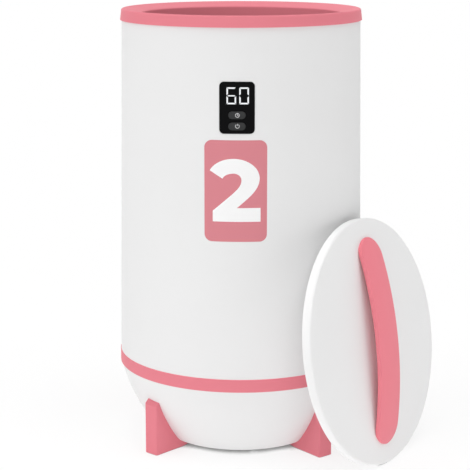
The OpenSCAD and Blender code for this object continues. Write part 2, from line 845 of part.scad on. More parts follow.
module lid_liner() {
    plate = 2;
    color("white") leaning() difference() {
        rotate_extrude($fn = 180) polygon([
            [0, -plug_h], [plug_r - 1, -plug_h], [plug_r, 1 - plug_h],
            [plug_r, plug_seal_z - plug_seal_t], [plug_r - 1, plug_seal_z - plug_seal_t],
            [plug_r - 1, plug_seal_z], [plug_r, plug_seal_z],
            [plug_r, 0], [lid_r - skin - 0.2, 0], [lid_r - skin - 0.2, plate],
            [plug_r - skin, plate], [plug_r - skin, plate - plug_h],
            [0, plate - plug_h]]);
        around(lid_boss_count, lid_boss_r) translate([0, 0, -cut])
            cylinder(r = lid_screw_r + 0.2, h = plate + 2 * cut, $fn = 32);
        around(lid_boss_count, lid_boss_r) translate([0, 0, -cut])
            cylinder(r = lid_screw_head_r + 0.3, h = cut + lid_screw_sink, $fn = 32);
    }
}

module lid_foam() {
    color("ivory") leaning() difference() {
        translate([0, 0, 2.2 - plug_h])
            cylinder(r = plug_r - skin - 0.5, h = lid_t - skin + plug_h - 2.4, $fn = 120);
        for (x = [-1, 1]) translate([x * handle_screw_x, 0, -plug_h])
            cylinder(r = screw_head_r + 1.2, h = 40, $fn = 32);
    }
}

module lid_seal() {
    color("dimgray") leaning() rotate_extrude($fn = 180)
        polygon([[plug_r - 1, plug_seal_z - plug_seal_t], [plug_r - 1, plug_seal_z],
            [plug_r + 0.8, plug_seal_z - 0.6], [plug_r + 0.8, plug_seal_z - plug_seal_t + 0.6]]);
}

module lid_screws() {
    color("silver") leaning() around(lid_boss_count, lid_boss_r)
        translate([0, 0, lid_screw_sink])
        screw(lid_screw_l, lid_screw_r, lid_screw_head_r, lid_screw_head_t);
}

// Point of the strap's top arc, seen from its side
function strap_z(x, drop = 0) =
    let (reach = handle_l / 2 - 10,
         sag = handle_rise - handle_t + 0.5,
         r = (reach * reach + sag * sag) / (2 * sag))
    handle_rise - drop - (r - drop) + sqrt((r - drop) * (r - drop) - x * x);

module lid_handle() {
    steps = 20;
    half = handle_l / 2;
    top_line = [for (i = [-steps:steps]) let (x = half * i / steps) [x, strap_z(x)]];
    low_line = [for (i = [steps:-1:-steps]) let (x = half * i / steps)
        [x, max(0, strap_z(x, handle_t))]];
    color("lightcoral") leaning() translate([0, 0, lid_t]) difference() {
        intersection() {
            rotate([90, 0, 0]) translate([0, 0, -handle_w / 2]) linear_extrude(handle_w)
                polygon(concat(top_line, low_line));
            linear_extrude(handle_rise + 2) {
                square([handle_l - handle_w, handle_w], center = true);
                for (x = [-1, 1]) translate([x * (handle_l - handle_w) / 2, 0])
                    circle(d = handle_w);
            }
        }
        for (x = [-1, 1]) translate([x * handle_screw_x, 0, -1])
            cylinder(r = screw_bore_r, h = 5.2, $fn = 32);
    }
}

module handle_screws() {
    color("silver") leaning() for (x = [-1, 1])
        translate([x * handle_screw_x, 0, lid_t - skin])
        screw(skin + 4, screw_r, screw_head_r, screw_head_t);
}

outer_drum();
top_rim();
inner_bucket();
bucket_seal();
bucket_support();
heater_film();
insulation_sleeve();
temperature_sensor();
thermostat();
thermal_fuse();
display_panel();
display_module();
control_board();
key_switches();
panel_holder();
timer_button();
power_button();
accent_band();
base_bowl();
power_board();
foot_front_left();
foot_front_right();
foot_rear_left();
foot_rear_right();
foot_pads();
foot_screws();
base_screws();
board_screws();
cord_gland();
panel_lead();
heater_lead();
lid_disc();
lid_liner();
lid_foam();
lid_seal();
lid_screws();
lid_handle();
handle_screws();
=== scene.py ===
"""Towel warmer bucket: finishes, printed pieces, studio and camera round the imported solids."""

import logging
import math
from dataclasses import dataclass
from enum import Enum
from typing import Iterable, Sequence

import bmesh
import bpy
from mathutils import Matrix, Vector
from mathutils.geometry import tessellate_polygon


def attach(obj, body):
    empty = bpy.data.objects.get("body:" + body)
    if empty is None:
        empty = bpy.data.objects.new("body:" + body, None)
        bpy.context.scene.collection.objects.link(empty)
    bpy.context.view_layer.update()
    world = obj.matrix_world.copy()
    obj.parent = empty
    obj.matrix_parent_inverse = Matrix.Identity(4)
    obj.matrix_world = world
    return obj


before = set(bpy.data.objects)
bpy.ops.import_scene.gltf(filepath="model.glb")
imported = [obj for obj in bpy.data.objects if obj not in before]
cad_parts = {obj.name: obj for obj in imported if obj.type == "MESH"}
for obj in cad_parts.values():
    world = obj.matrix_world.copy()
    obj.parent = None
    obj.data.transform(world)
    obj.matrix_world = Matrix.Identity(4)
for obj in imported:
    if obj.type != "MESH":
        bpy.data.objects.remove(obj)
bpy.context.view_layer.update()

logging.basicConfig(level=logging.INFO, format="%(name)s: %(message)s")
LOG = logging.getLogger("towel_warmer")

Colour = tuple[float, float, float]
Point = tuple[float, float]
Loop = list[Point]

MM = 0.001
WHITE: Colour = (1.0, 1.0, 1.0)
BLACK: Colour = (0.0, 0.0, 0.0)
EVEN_SCALE = (1.0, 1.0, 1.0)

# faces that meet at less than this angle are shaded as one curve
CRISP_DEG = 32.0
WELD_MM = 0.002
EDGE_SEGMENTS = 3
CUT_TOLERANCE_MM = 1e-5

# the colour sockets of a Mix node, which share their names with its other sockets
MIX_A, MIX_B, MIX_RESULT = 6, 7, 2


@dataclass(frozen=True)
class StudioCamera:
    """The camera at the photograph's viewing angle."""

    place: tuple[float, float, float] = (0.0563, -1.8124, 0.6389)
    pitch_down_deg: float = 10.785
    turn_left_deg: float = 2.009
    lens_mm: float = 115.05
    sensor_mm: float = 36.0
    shift_y: float = -0.075
    reach_m: float = 50.0

    def set_up(self) -> bpy.types.Object:
        """Makes the camera and gives it to the scene.

        Returns:
            The camera object.
        """
        data = bpy.data.cameras.new("studio_camera")
        data.lens = self.lens_mm
        data.sensor_width = self.sensor_mm
        data.shift_y = self.shift_y
        data.clip_end = self.reach_m
        camera = bpy.data.objects.new("studio_camera", data)
        camera.location = self.place
        camera.rotation_euler = (
            math.radians(90.0 - self.pitch_down_deg), 0.0, math.radians(self.turn_left_deg))
        bpy.context.scene.collection.objects.link(camera)
        bpy.context.scene.camera = camera
        LOG.info("camera: %s", camera.name)
        return camera


class GroupSocket(Enum):
    """Kinds of socket that the shader node groups use."""

    VALUE = "NodeSocketFloat"
    COLOUR = "NodeSocketColor"


class ShaderGroup:
    """A shader node group with named inputs and outputs, built once and used by many finishes."""

    name: str = "group"
    inputs: Sequence[tuple[str, GroupSocket, float | Colour]] = ()
    outputs: Sequence[tuple[str, GroupSocket]] = ()

    def tree(self) -> bpy.types.NodeTree:
        """Finds the group, or builds it the first time.

        Returns:
            The node tree.
        """
        found = bpy.data.node_groups.get(self.name)
        if found:
            return found
        tree = bpy.data.node_groups.new(self.name, "ShaderNodeTree")
        for name, kind, value in self.inputs:
            socket = tree.interface.new_socket(name, in_out="INPUT", socket_type=kind.value)
            socket.default_value = (*value, 1.0) if isinstance(value, tuple) else value
        for name, kind in self.outputs:
            tree.interface.new_socket(name, in_out="OUTPUT", socket_type=kind.value)
        self.wire(Wiring(tree), tree.nodes.new("NodeGroupInput").outputs,
                  tree.nodes.new("NodeGroupOutput").inputs)
        return tree

    def wire(self, make: "Wiring", given: bpy.types.NodeOutputs,
             result: bpy.types.NodeInputs) -> None:
        """Fills the group with nodes.

        Args:
            make: Adds and links nodes.
            given: The group's inputs, as output sockets.
            result: The group's outputs, as input sockets.
        """
        raise NotImplementedError


class Wiring:
    """Short ways to add and link shader nodes in one tree."""

    def __init__(self, tree: bpy.types.NodeTree) -> None:
        """Keeps the tree that the nodes go into."""
        self.tree = tree

    def link(self, source: object, target: bpy.types.NodeSocket) -> None:
        """Links a socket to a target, or sets the target's own value.

        Args:
            source: A socket, a colour or a number.
            target: The input socket.
        """
        if isinstance(source, bpy.types.NodeSocket):
            self.tree.links.new(source, target)
        elif isinstance(source, tuple) and len(source) == 3 and target.type == "RGBA":
            target.default_value = (*source, 1.0)
        else:
            target.default_value = source

    def node(self, kind: str, **sockets: object) -> bpy.types.Node:
        """Adds a node and fills its inputs by name, with _ for a space.

        Args:
            kind: The node's type.
            sockets: Values or sockets for its inputs.

        Returns:
            The new node.
        """
        made = self.tree.nodes.new(kind)
        for name, source in sockets.items():
            self.link(source, made.inputs[name.replace("_", " ")])
        return made

    def noise(self, vector: bpy.types.NodeSocket, scale: object, detail: float = 3.0,
              roughness: float = 0.5) -> bpy.types.NodeSocket:
        """Adds a noise texture and returns its value socket."""
        return self.node("ShaderNodeTexNoise", Vector=vector, Scale=scale, Detail=detail,
                         Roughness=roughness).outputs["Fac"]

    def maths(self, operation: str, a: object, b: object) -> bpy.types.NodeSocket:
        """Adds a Math node with two inputs.

        Args:
            operation: Blender's name for what it does.
            a: The first value or socket.
            b: The second value or socket.

        Returns:
            Its result socket.
        """
        made = self.tree.nodes.new("ShaderNodeMath")
        made.operation = operation
        self.link(a, made.inputs[0])
        self.link(b, made.inputs[1])
        return made.outputs[0]

    def swing(self, value: bpy.types.NodeSocket, depth: object) -> bpy.types.NodeSocket:
        """Turns a texture's value into a swing about zero, and returns its socket."""
        return self.maths("MULTIPLY", self.maths("SUBTRACT", value, 0.5), depth)

    def toned(self, colour: object, shift: bpy.types.NodeSocket) -> bpy.types.NodeSocket:
        """Makes a colour lighter or darker by a share, and returns its socket."""
        return self.node("ShaderNodeHueSaturation", Color=colour,
                         Value=self.maths("ADD", shift, 1.0)).outputs["Color"]

    def mapped(self, value: bpy.types.NodeSocket, low: float, high: float,
               from_low: float = 0.0, from_high: float = 1.0) -> bpy.types.NodeSocket:
        """Adds a Map Range node.

        Args:
            value: What it maps.
            low: Result at from_low and below.
            high: Result at from_high and above.
            from_low: Lower end of the value's range.
            from_high: Upper end of the value's range.

        Returns:
            Its result socket.
        """
        made = self.tree.nodes.new("ShaderNodeMapRange")
        for name, number in (("From Min", from_low), ("From Max", from_high),
                             ("To Min", low), ("To Max", high)):
            made.inputs[name].default_value = number
        self.link(value, made.inputs["Value"])
        return made.outputs["Result"]

    def mixed(self, factor: object, a: object, b: object) -> bpy.types.NodeSocket:
        """Adds a colour Mix node.

        Args:
            factor: Share of the second colour.
            a: The first colour or socket.
            b: The second colour or socket.

        Returns:
            Its result socket.
        """
        made = self.tree.nodes.new("ShaderNodeMix")
        made.data_type = "RGBA"
        self.link(factor, made.inputs["Factor"])
        self.link(a, made.inputs[MIX_A])
        self.link(b, made.inputs[MIX_B])
        return made.outputs[MIX_RESULT]

    def stretched(self, scale: tuple[float, float, float]) -> bpy.types.NodeSocket:
        """Adds object coordinates with a scale.

        Args:
            scale: Scale along X, Y and Z.

        Returns:
            The vector's socket.
        """
        place = self.tree.nodes.new("ShaderNodeTexCoord")
        made = self.tree.nodes.new("ShaderNodeMapping")
        made.inputs["Scale"].default_value = scale
        self.tree.links.new(place.outputs["Object"], made.inputs["Vector"])
        return made.outputs["Vector"]


class MouldedGrain(ShaderGroup):
    """Fine moulded texture: tone and roughness drift, with a fine pebble for the bump."""

    name = "moulded_grain"
    inputs = (("Colour", GroupSocket.COLOUR, (0.8, 0.8, 0.8)),
              ("Tone Drift", GroupSocket.VALUE, 0.02),
              ("Roughness", GroupSocket.VALUE, 0.4),
              ("Roughness Drift", GroupSocket.VALUE, 0.05),
              ("Pebble Scale", GroupSocket.VALUE, 1400.0))
    outputs = (("Colour", GroupSocket.COLOUR), ("Roughness", GroupSocket.VALUE),
               ("Height", GroupSocket.VALUE))
    tone_scale = 9.0
    smear_scale = 34.0
    full_swing = 2.0

    def wire(self, make: Wiring, given: bpy.types.NodeOutputs,
             result: bpy.types.NodeInputs) -> None:
        """Fills the group with nodes.

        Args:
            make: Adds and links nodes.
            given: The group's inputs, as output sockets.
            result: The group's outputs, as input sockets.
        """
        place = make.stretched(EVEN_SCALE)
        drift = make.noise(place, self.tone_scale)
        shade = make.maths("MULTIPLY", make.swing(drift, given["Tone Drift"]), self.full_swing)
        make.link(make.toned(given["Colour"], shade), result["Colour"])
        smear = make.noise(place, self.smear_scale, detail=4.0, roughness=0.6)
        wear = make.maths("MULTIPLY", make.swing(smear, given["Roughness Drift"]),
                          self.full_swing)
        make.link(make.maths("ADD", given["Roughness"], wear), result["Roughness"])
        pebble = make.noise(place, given["Pebble Scale"], detail=2.0, roughness=0.45)
        make.link(pebble, result["Height"])


class BrushedLines(ShaderGroup):
    """Fine drawn lines round the upright axis, for sheet metal and turned fasteners."""

    name = "brushed_lines"
    inputs = (("Colour", GroupSocket.COLOUR, (0.7, 0.7, 0.7)),
              ("Line Depth", GroupSocket.VALUE, 0.06),
              ("Roughness", GroupSocket.VALUE, 0.35))
    outputs = MouldedGrain.outputs
    stretch = (6.0, 6.0, 900.0)
    line_scale = 3.0
    roughness_swing = 0.16

    def wire(self, make: Wiring, given: bpy.types.NodeOutputs,
             result: bpy.types.NodeInputs) -> None:
        """Fills the group with nodes.

        Args:
            make: Adds and links nodes.
            given: The group's inputs, as output sockets.
            result: The group's outputs, as input sockets.
        """
        lines = make.noise(make.stretched(self.stretch), self.line_scale, detail=4.0,
                           roughness=0.7)
        shade = make.swing(lines, given["Line Depth"])
        make.link(make.toned(given["Colour"], shade), result["Colour"])
        wear = make.swing(lines, self.roughness_swing)
        make.link(make.maths("ADD", given["Roughness"], wear), result["Roughness"])
        make.link(lines, result["Height"])


class FeltFibres(ShaderGroup):
    """Matted fibres for the insulation and the lid's foam core."""

    name = "felt_fibres"
    inputs = (("Colour", GroupSocket.COLOUR, (0.7, 0.7, 0.7)),
              ("Fibre Scale", GroupSocket.VALUE, 600.0),
              ("Fibre Tone", GroupSocket.VALUE, 0.25))
    outputs = (("Colour", GroupSocket.COLOUR), ("Height", GroupSocket.VALUE))

    def wire(self, make: Wiring, given: bpy.types.NodeOutputs,
             result: bpy.types.NodeInputs) -> None:
        """Fills the group with nodes.

        Args:
            make: Adds and links nodes.
            given: The group's inputs, as output sockets.
            result: The group's outputs, as input sockets.
        """
        fibres = make.node("ShaderNodeTexNoise", Vector=make.stretched(EVEN_SCALE),
                           Scale=given["Fibre Scale"], Detail=6.0, Roughness=0.75,
                           Distortion=1.6).outputs["Fac"]
        shade = make.swing(fibres, given["Fibre Tone"])
        make.link(make.toned(given["Colour"], shade), result["Colour"])
        make.link(fibres, result["Height"])


@dataclass(frozen=True)
class Finish:
    """One finish: a Principled surface whose colour, roughness and bump come from nodes."""

    name: str
    colour: Colour
    roughness: float = 0.4
    metallic: float = 0.0
    specular: float = 0.5
    bump_mm: float = 0.02

    def material(self) -> bpy.types.Material:
        """Finds the material, or builds it the first time.

        Returns:
            The material.
        """
        name = self.name + "_finish"
        found = bpy.data.materials.get(name)
        if found:
            return found
        made = bpy.data.materials.new(name)
        made.use_nodes = True
        shader = made.node_tree.nodes["Principled BSDF"]
        shader.inputs["Metallic"].default_value = self.metallic
        shader.inputs["Specular IOR Level"].default_value = self.specular
        shader.inputs["Roughness"].default_value = self.roughness
        made.diffuse_color = (*self.colour, 1.0)
        self.dress(Wiring(made.node_tree), shader)
        return made

    def dress(self, make: Wiring, shader: bpy.types.Node) -> None:
        """Feeds the shader from nodes.

        Args:
            make: Adds and links nodes.
            shader: The material's Principled node.
        """
        raise NotImplementedError

    def group(self, make: Wiring, kind: type[ShaderGroup], **values: object) -> bpy.types.Node:
        """Places a shader node group with this finish's values.

        Args:
            make: Adds and links nodes.
            kind: Which group.
            values: Values for its inputs by name, with _ for a space.

        Returns:
            The group's node.
        """
        node = make.tree.nodes.new("ShaderNodeGroup")
        node.node_tree = kind().tree()
        for name, value in values.items():
            make.link(value, node.inputs[name.replace("_", " ")])
        return node

    def bump(self, make: Wiring, height: bpy.types.NodeSocket,
             shader: bpy.types.Node) -> None:
        """Turns a height into the shader's normal.

        Args:
            make: Adds and links nodes.
            height: The height's socket, from 0 to 1.
            shader: The material's Principled node.
        """
        node = make.node("ShaderNodeBump", Height=height, Distance=self.bump_mm * MM,
                         Strength=1.0)
        make.link(node.outputs["Normal"], shader.inputs["Normal"])


@dataclass(frozen=True)
class MouldedPlastic(Finish):
    """Injection-moulded plastic or rubber with a fine pebble."""

    tone_drift: float = 0.012
    roughness_drift: float = 0.05
    pebble: float = 1400.0

    def dress(self, make: Wiring, shader: bpy.types.Node) -> None:
        """Feeds the shader from the moulded grain.

        Args:
            make: Adds and links nodes.
            shader: The material's Principled node.
        """
        grain = self.group(make, MouldedGrain, Colour=self.colour, Tone_Drift=self.tone_drift,
                           Roughness=self.roughness, Roughness_Drift=self.roughness_drift,
                           Pebble_Scale=self.pebble)
        make.link(grain.outputs["Colour"], shader.inputs["Base Color"])
        make.link(grain.outputs["Roughness"], shader.inputs["Roughness"])
        self.bump(make, grain.outputs["Height"], shader)


@dataclass(frozen=True)
class DrawnMetal(Finish):
    """Sheet or turned metal with fine lines."""

    line_depth: float = 0.08

    def dress(self, make: Wiring, shader: bpy.types.Node) -> None:
        """Feeds the shader from the brushed lines.

        Args:
            make: Adds and links nodes.
            shader: The material's Principled node.
        """
        lines = self.group(make, BrushedLines, Colour=self.colour,
                           Line_Depth=self.line_depth, Roughness=self.roughness)
        make.link(lines.outputs["Colour"], shader.inputs["Base Color"])
        make.link(lines.outputs["Roughness"], shader.inputs["Roughness"])
        self.bump(make, lines.outputs["Height"], shader)


@dataclass(frozen=True)
class MattedFelt(Finish):
    """Felt or foam."""

    fibre_scale: float = 600.0
    fibre_tone: float = 0.3

    def dress(self, make: Wiring, shader: bpy.types.Node) -> None:
        """Feeds the shader from the matted fibres.

        Args:
            make: Adds and links nodes.
            shader: The material's Principled node.
        """
        fibres = self.group(make, FeltFibres, Colour=self.colour,
                            Fibre_Scale=self.fibre_scale, Fibre_Tone=self.fibre_tone)
        make.link(fibres.outputs["Colour"], shader.inputs["Base Color"])
        self.bump(make, fibres.outputs["Height"], shader)


@dataclass(frozen=True)
class LitBars(Finish):
    """Light bars of the display, whose glow drifts a little towards a cooler tone."""

    glow: float = 0.93
    cooler: Colour = (0.8, 0.86, 0.9)
    cooler_share: float = 0.12
    drift_scale: float = 420.0
    unlit_share: float = 0.97

    def dress(self, make: Wiring, shader: bpy.types.Node) -> None:
        """Feeds the shader's emission from a slow drift of tone.

        Args:
            make: Adds and links nodes.
            shader: The material's Principled node.
        """
        drift = make.noise(make.stretched(EVEN_SCALE), self.drift_scale, detail=1.0)
        tone = make.mixed(make.mapped(drift, 0.0, self.cooler_share), self.colour, self.cooler)
        make.link(tone, shader.inputs["Emission Color"])
        make.link(make.mixed(self.unlit_share, tone, BLACK), shader.inputs["Base Color"])
        shader.inputs["Emission Strength"].default_value = self.glow


@dataclass(frozen=True)
class PrintedBoard(Finish):
    """Solder mask with faint tracks."""

    cell_scale: float = 180.0
    track_edges: Point = (0.35, 0.5)
    track_lift: float = 2.2
    track_share: float = 0.35

    def dress(self, make: Wiring, shader: bpy.types.Node) -> None:
        """Feeds the shader from a cell pattern of tracks.

        Args:
            make: Adds and links nodes.
            shader: The material's Principled node.
        """
        cells = make.node("ShaderNodeTexVoronoi", Vector=make.stretched(EVEN_SCALE),
                          Scale=self.cell_scale)
        tracks = make.mapped(cells.outputs["Distance"], 0.0, 1.0, *self.track_edges)
        lighter = tuple(min(1.0, c * self.track_lift) for c in self.colour)
        shown = make.maths("MULTIPLY", tracks, self.track_share)
        make.link(make.mixed(shown, self.colour, lighter), shader.inputs["Base Color"])
        self.bump(make, tracks, shader)


WHITE_SHELL = MouldedPlastic("white_shell", (0.862, 0.862, 0.862), 0.55, specular=0.12,
                             bump_mm=0.006)
# a lighter copy of the shell's white: painted light, standing in for the extra light on the lid
WHITE_LID_PAINTED_LIGHT = MouldedPlastic("white_lid_painted_light", (0.915, 0.915, 0.915), 0.5, specular=0.15,
                           bump_mm=0.006)
PINK_TRIM = MouldedPlastic("pink_trim", (0.82, 0.237, 0.285), 0.55, specular=0.12,
                           bump_mm=0.006)
# a lighter copy of the pink trim: painted light, standing in for light from above on the strap
PINK_STRAP_PAINTED_LIGHT = MouldedPlastic("pink_strap_painted_light", (0.925, 0.254, 0.306), 0.5, specular=0.15,
                            bump_mm=0.006)
LINER_SHEET = DrawnMetal("liner_sheet", (0.82, 0.82, 0.83), 0.36, metallic=1.0, bump_mm=0.01)
SILICONE = MouldedPlastic("silicone", (0.09, 0.09, 0.095), 0.6)
INNER_PLASTIC = MouldedPlastic("inner_plastic", (0.66, 0.66, 0.64), 0.55)
HEATER_FOIL = DrawnMetal("heater_foil", (0.42, 0.22, 0.05), 0.4, line_depth=0.3)
FELT = MattedFelt("felt", (0.6, 0.59, 0.56), 0.95, bump_mm=0.4)
FOAM = MattedFelt("foam", (0.72, 0.7, 0.62), 0.9, bump_mm=0.25, fibre_scale=900.0)
SENSOR_STEEL = DrawnMetal("sensor_steel", (0.6, 0.6, 0.61), 0.3, metallic=1.0)
SENSOR_BODY = MouldedPlastic("sensor_body", (0.02, 0.02, 0.022), 0.5)
PANEL_LENS = MouldedPlastic("panel_lens", (0.003, 0.003, 0.0035), 0.16, specular=0.05,
                            tone_drift=0.05, roughness_drift=0.02, bump_mm=0.0015)
DISPLAY_BODY = MouldedPlastic("display_body", (0.03, 0.03, 0.032), 0.5)
KEY_GREY = MouldedPlastic("key_grey", (0.026, 0.027, 0.028), 0.36, specular=0.25)
BOARD_GREEN = PrintedBoard("board_green", (0.01, 0.07, 0.025), 0.4, bump_mm=0.05)
RUBBER = MouldedPlastic("rubber", (0.02, 0.02, 0.021), 0.75, bump_mm=0.04, pebble=700.0)
LEAD_SLEEVE = MouldedPlastic("lead_sleeve", (0.025, 0.025, 0.027), 0.5)
SCREW_STEEL = DrawnMetal("screw_steel", (0.62, 0.62, 0.63), 0.3, metallic=1.0)
LABEL_FILM = MouldedPlastic("label_film", (0.70, 0.225, 0.262), 0.42, bump_mm=0.004)
LABEL_WHITE = MouldedPlastic("label_white", (0.97, 0.97, 0.97), 0.45, bump_mm=0.004)
ICON_PRINT = MouldedPlastic("icon_print", (0.66, 0.66, 0.67), 0.5, bump_mm=0.004)
DISPLAY_LIGHT = LitBars("display_light", (0.95, 0.97, 1.0), 0.4)


def dress_node(name: str, finish: Finish, edge_mm: float = 0.0) -> None:
    """Gives a carried-over solid its finish and smooth shading between its crisp edges.

    Args:
        name: The node.
        finish: What it is made of.
        edge_mm: Width of the small round on its crisp edges, if any.
    """
    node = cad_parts[name]
    node.data.materials.clear()
    node.data.materials.append(finish.material())
    for face in node.data.polygons:
        face.use_smooth = True
    weld = node.modifiers.new("weld", "WELD")
    weld.merge_threshold = WELD_MM * MM
    if edge_mm:
        bevel = node.modifiers.new("broken_edges", "BEVEL")
        bevel.width = edge_mm * MM
        bevel.segments = EDGE_SEGMENTS
        bevel.limit_method = "ANGLE"
        bevel.angle_limit = math.radians(CRISP_DEG)
        bevel.harden_normals = True
    else:
        split = node.modifiers.new("crisp_edges", "EDGE_SPLIT")
        split.split_angle = math.radians(CRISP_DEG)
    LOG.info("node %s: %s", name, finish.name)


def place_piece(name: str, mesh: bpy.types.Mesh, finish: Finish, body: str) -> bpy.types.Object:
    """Adds a piece to the scene and puts it on its body.

    Args:
        name: The piece's name.
        mesh: Its mesh.
        finish: What it is made of.
        body: The body that carries it.

    Returns:
        The new object.
    """
    piece = bpy.data.objects.new(name, mesh)
    mesh.materials.append(finish.material())
    bpy.context.scene.collection.objects.link(piece)
    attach(piece, body)
    LOG.info("piece %s: %s on %s", name, finish.name, body)
    return piece


def arc(cx: float, cz: float, rx: float, rz: float, start: float, end: float,
        steps: int) -> Loop:
    """Points of an elliptical arc.

    Args:
        cx: Centre along X.
        cz: Centre along Z.
        rx: Half width.
        rz: Half height.
        start: First angle in degrees.
        end: Last angle in degrees.
        steps: Number of chords.

    Returns:
        The points in order.
    """
    angles = [math.radians(start + (end - start) * i / steps) for i in range(steps + 1)]
    return [(cx + rx * math.cos(a), cz + rz * math.sin(a)) for a in angles]


def bezier(a: Point, b: Point, c: Point, d: Point, steps: int = 16) -> Loop:
    """Points of a cubic curve.

    Args:
        a: Where it starts.
        b: Handle of its start.
        c: Handle of its end.
        d: Where it ends.
        steps: Number of chords.

    Returns:
        The points in order.
    """
    points = []
    for i in range(steps + 1):
        t = i / steps
        weights = ((1 - t) ** 3, 3 * t * (1 - t) ** 2, 3 * t * t * (1 - t), t ** 3)
        points.append(tuple(sum(w * p[n] for w, p in zip(weights, (a, b, c, d)))
                            for n in (0, 1)))
    return points


def rounded_box(left: float, low: float, right: float, high: float, radius: float,
                steps: int = 8) -> Loop:
    """Outline of a box with round corners.

    Args:
        left: Its lowest X.
        low: Its lowest Z.
        right: Its highest X.
        high: Its highest Z.
        radius: Radius of its corners.
        steps: Number of chords in a corner.

    Returns:
        The points in order.
    """
    corners = ((right - radius, high - radius, 90), (right - radius, low + radius, 0),
               (left + radius, low + radius, -90), (left + radius, high - radius, 180))
    return [point for x, z, start in corners
            for point in arc(x, z, radius, radius, start, start - 90, steps)]


def turned(points: Iterable[Point], centre: Point, degrees: float) -> Loop:
    """Turns points about a centre.

    Args:
        points: The points.
        centre: What they turn about.
        degrees: How far, from X towards Z.

    Returns:
        The turned points.
    """
    c, s = math.cos(math.radians(degrees)), math.sin(math.radians(degrees))
    return [(centre[0] + (x - centre[0]) * c - (z - centre[1]) * s,
             centre[1] + (x - centre[0]) * s + (z - centre[1]) * c) for x, z in points]


@dataclass(frozen=True)
class DrumFace:
    """The drum's front, which prints follow: a slightly tapered round wall."""

    top_r: float = 143.1
    foot_r: float = 148.9
    top_z: float = 514.8
    foot_z: float = 110.0

    def radius(self, z: float) -> float:
        """Outer radius in millimetres at height z."""
        return self.top_r + (self.foot_r - self.top_r) * (self.top_z - z) / (
            self.top_z - self.foot_z)

    def point(self, x: float, z: float, out: float) -> Vector:
        """Point in metres that stands out of the wall by out millimetres."""
        r = self.radius(z) + out
        return Vector((x, -math.sqrt(r * r - x * x), z)) * MM

    @staticmethod
    def fill(work: bmesh.types.BMesh, loops: Sequence[Loop]) -> None:
        """Fills a flat outline with triangles.

        Args:
            work: The mesh that the faces go into.
            loops: The outer outline and then its holes.
        """
        corners = [work.verts.new((x, 0.0, z)) for loop in loops for x, z in loop]
        flat = [[Vector((x, z, 0.0)) for x, z in loop] for loop in loops]
        for triangle in tessellate_polygon(flat):
            work.faces.new([corners[i] for i in triangle])

    @staticmethod
    def cut(work: bmesh.types.BMesh, slice_mm: float) -> None:
        """Cuts flat faces into upright slices, which can bend round the drum.

        Args:
            work: The mesh.
            slice_mm: The most that a slice measures across.
        """
        xs = [v.co.x for v in work.verts]
        left, width = min(xs), max(xs) - min(xs)
        count = int(width / slice_mm)
        for i in range(1, count + 1):
            bmesh.ops.bisect_plane(
                work, geom=work.verts[:] + work.edges[:] + work.faces[:],
                dist=CUT_TOLERANCE_MM, plane_co=(left + i * width / (count + 1), 0, 0),
                plane_no=(1, 0, 0))

    def print_mesh(self, name: str, shapes: Sequence[Sequence[Loop]], out: float,
                   thickness: float, slice_mm: float = 2.0) -> bpy.types.Mesh:
        """Builds a thin film on the drum from flat outlines.

        Args:
            name: The mesh's name.
            shapes: Each shape is its outer outline and then its holes.
            out: How far the film's face stands out of the wall, in millimetres.
            thickness: The film's thickness in millimetres.
            slice_mm: Width of the upright slices that bend round the drum.

        Returns:
            The mesh.
        """
        work = bmesh.new()
        for loops in shapes:
            self.fill(work, loops)
        self.cut(work, slice_mm)
        bmesh.ops.recalc_face_normals(work, faces=work.faces)
        if sum(f.normal.y for f in work.faces) > 0:
            bmesh.ops.reverse_faces(work, faces=work.faces)
        for vert in work.verts:
            vert.co = self.point(vert.co.x, vert.co.z, out)
        bmesh.ops.solidify(work, geom=list(work.faces), thickness=thickness * MM)
        mesh = bpy.data.meshes.new(name)
        work.to_mesh(mesh)
        work.free()
        return mesh


@dataclass(frozen=True)
class Dressed:
    """Carried-over solids that share a finish."""

    finish: Finish
    nodes: tuple[str, ...]
    edge_mm: float = 0.0


@dataclass
class SubAssembly:
    """Solids that keep their shape and get a finish each."""

    solids: tuple[Dressed, ...] = ()

    def build(self) -> None:
        """Dresses every solid of the sub-assembly."""
        LOG.info("sub-assembly: %s", type(self).__name__)
        for group in self.solids:
            for name in group.nodes:
                dress_node(name, group.finish, group.edge_mm)


